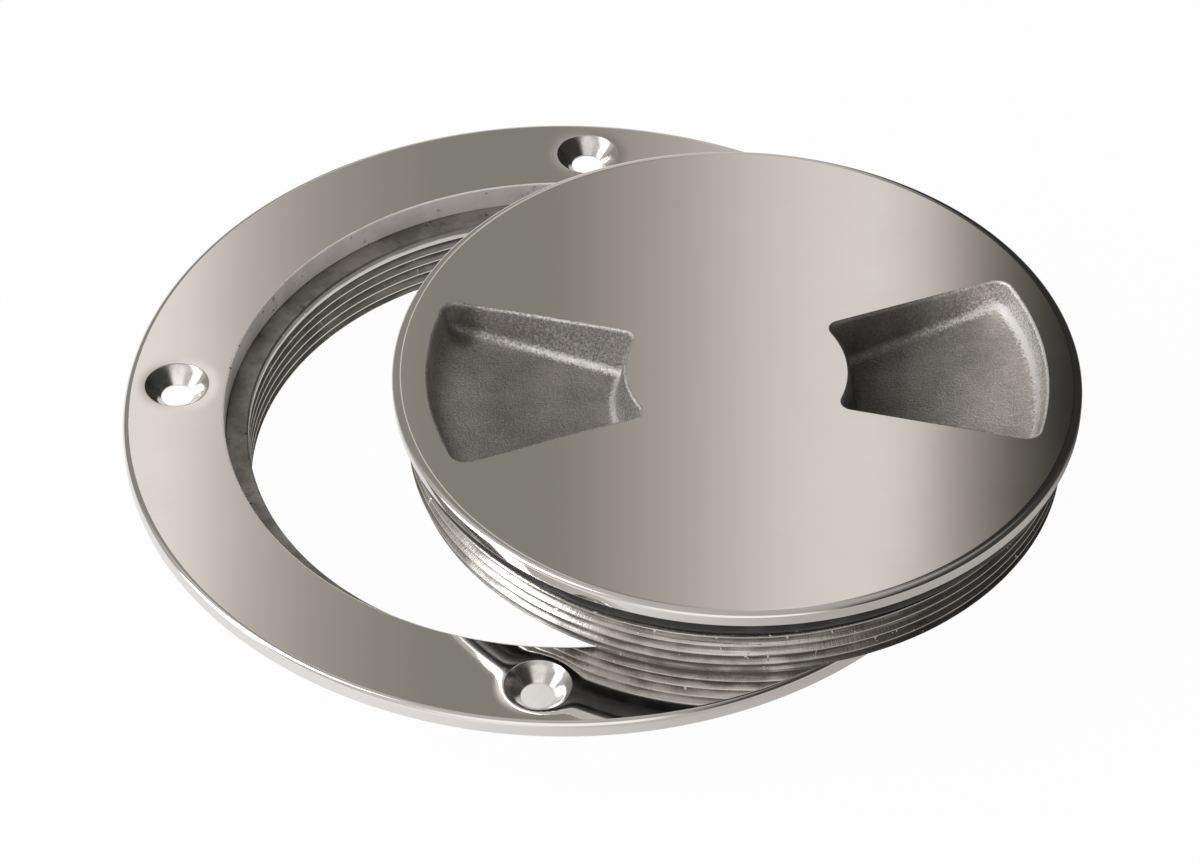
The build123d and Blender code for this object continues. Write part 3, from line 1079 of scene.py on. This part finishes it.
def make_world(stage):
    """White behind the piece, and round it a studio of grey cards that the polished steel reflects.

    The flat faces show the narrow panel that lies ahead of the camera and above: there the level is
    a function of how far to the right a direction goes for its way ahead.
    """
    world = bpy.data.worlds.new("studio")
    bpy.context.scene.world = world
    graph = Graph(world)
    direction = graph.node("ShaderNodeTexCoord", output="Generated")

    def along(axis):
        settings = {"operation": "DOT_PRODUCT"}
        return graph.node("ShaderNodeVectorMath", settings, {0: direction, 1: axis}, output="Value")

    def held(value):
        return value.maths("MAXIMUM", value, 0.05)

    turn = Matrix.Rotation(stage.heading, 3, "Z")
    right = along(turn @ Vector((1.0, 0.0, 0.0)))
    front = along(turn @ Vector((0.0, 1.0, 0.0)))
    up = along((0.0, 0.0, 1.0))
    ahead = along(turn @ Vector((0.0, cos(stage.elevation), sin(stage.elevation))))
    facing = along(turn @ Vector((0.0, -cos(stage.elevation), sin(stage.elevation))))
    panel = graph.ramp(right / held(ahead) / PANEL_WIDTH + 0.5, PANEL_STOPS)
    aside = front / held(right * -1.0)
    softbox = graph.between(aside, -0.34, -0.27) * graph.fade(aside, 0.08, 0.13)
    low = graph.fade(up, 0.15, 0.45) * graph.fade(front, -0.3, 0.2)
    cards = (
        (graph.between(up, 0.72, 0.92, 0.0, 0.15), BLACK),
        (low * graph.between(right, -0.2, 0.1, 1.0, 0.3), LOW_CARD),
        (graph.between(facing, 0.86, 0.95), SPOT),
        (graph.fade(right, -0.2, -0.1) * graph.between(front, 0.3, 0.5), LEFT_CARD),
        (softbox * graph.fade(right, -0.45, -0.25) * graph.between(up, 0.0, 0.1), SOFTBOX),
        (graph.between(right, 0.2, 0.55) * graph.between(up + front * 0.5, 0.05, 0.3), RIGHT_CARD),
        (graph.between(right, 0.1, 0.2) * graph.between(front, 0.4, 0.55), BACK_CARD),
        (graph.between(ahead, 0.965, 0.985), panel),
    )
    room = graph.ramp(right * 0.5 + 0.5, ROOM_STOPS)
    for share, card in cards:
        room = graph.blend(share, room, card)
    seen = graph.light_path("Is Camera Ray") + graph.light_path("Is Transmission Ray")
    colour = graph.blend(seen, room, WHITE)
    shown = graph.node("ShaderNodeBackground", {}, {"Color": colour, "Strength": 1.0})
    graph.node("ShaderNodeOutputWorld", {}, {"Surface": shown})


def make_lamp():
    """A soft lamp at a plain level, high on the left."""
    lamp = bpy.data.lights.new("softbox_left", "AREA")
    lamp.size = LAMP_SIZE
    lamp.energy = LAMP_POWER
    body = linked("softbox_left", lamp)
    away = Vector(LAMP_PLACE)
    body.matrix_world = Matrix.Translation(away) @ away.to_track_quat("Z", "Y").to_matrix().to_4x4()


class DECKPLATE_OT_ring(bpy.types.Operator):
    """Build the threaded ring"""

    bl_idname = "deckplate.ring"
    bl_label = "Threaded Ring"

    def execute(self, context):
        make_ring(context.scene.plate_ring, context.scene.plate_colours)
        return {"FINISHED"}


class DECKPLATE_OT_lid(bpy.types.Operator):
    """Build the screw lid where it lies on the ring"""

    bl_idname = "deckplate.lid"
    bl_label = "Screw Lid"

    def execute(self, context):
        make_lid(context.scene.plate_lid, context.scene.plate_well, context.scene.plate_colours)
        return {"FINISHED"}


class DECKPLATE_OT_seal(bpy.types.Operator):
    """Build the rubber seal on the neck of the lid"""

    bl_idname = "deckplate.seal"
    bl_label = "Rubber Seal"

    def execute(self, context):
        make_seal(context.scene.plate_lid, context.scene.plate_colours)
        return {"FINISHED"}


class DECKPLATE_OT_stage(bpy.types.Operator):
    """Set the camera, the floor, the studio and the lamp"""

    bl_idname = "deckplate.stage"
    bl_label = "Stage"

    def execute(self, context):
        stage = context.scene.plate_stage
        make_camera(stage)
        make_floor()
        make_world(stage)
        make_lamp()
        context.scene.view_settings.view_transform = "Standard"
        return {"FINISHED"}


class DECKPLATE_PT_panel(bpy.types.Panel):
    """The buttons that build each piece, then the sizes and colours"""

    bl_idname = "DECKPLATE_PT_panel"
    bl_label = "Deck Plate"
    bl_space_type = "VIEW_3D"
    bl_region_type = "UI"
    bl_category = "Deck Plate"

    def draw(self, context):
        for operator in OPERATORS:
            self.layout.operator(operator.bl_idname)
        for group in GROUPS:
            settings = getattr(context.scene, group)
            for name in settings.bl_rna.properties.keys()[OWN_PROPERTIES]:
                self.layout.prop(settings, name)


OPERATORS = (DECKPLATE_OT_stage, DECKPLATE_OT_ring, DECKPLATE_OT_lid, DECKPLATE_OT_seal)
GROUPS = {
    "plate_ring": PlateRingSizes,
    "plate_lid": PlateLidSizes,
    "plate_well": PlateWellSizes,
    "plate_colours": PlateColours,
    "plate_stage": PlateStageSettings,
}
OWN_PROPERTIES = slice(2, None)
CLASSES = (*GROUPS.values(), *OPERATORS, DECKPLATE_PT_panel)


def register():
    for kind in CLASSES:
        bpy.utils.register_class(kind)
    for name, group in GROUPS.items():
        setattr(bpy.types.Scene, name, bpy.props.PointerProperty(type=group))


def unregister():
    for name in GROUPS:
        delattr(bpy.types.Scene, name)
    for kind in reversed(CLASSES):
        bpy.utils.unregister_class(kind)


def main():
    register()
    bpy.ops.deckplate.stage()
    bpy.ops.deckplate.ring()
    bpy.ops.deckplate.lid()
    bpy.ops.deckplate.seal()


if __name__ == "__main__":
    main()
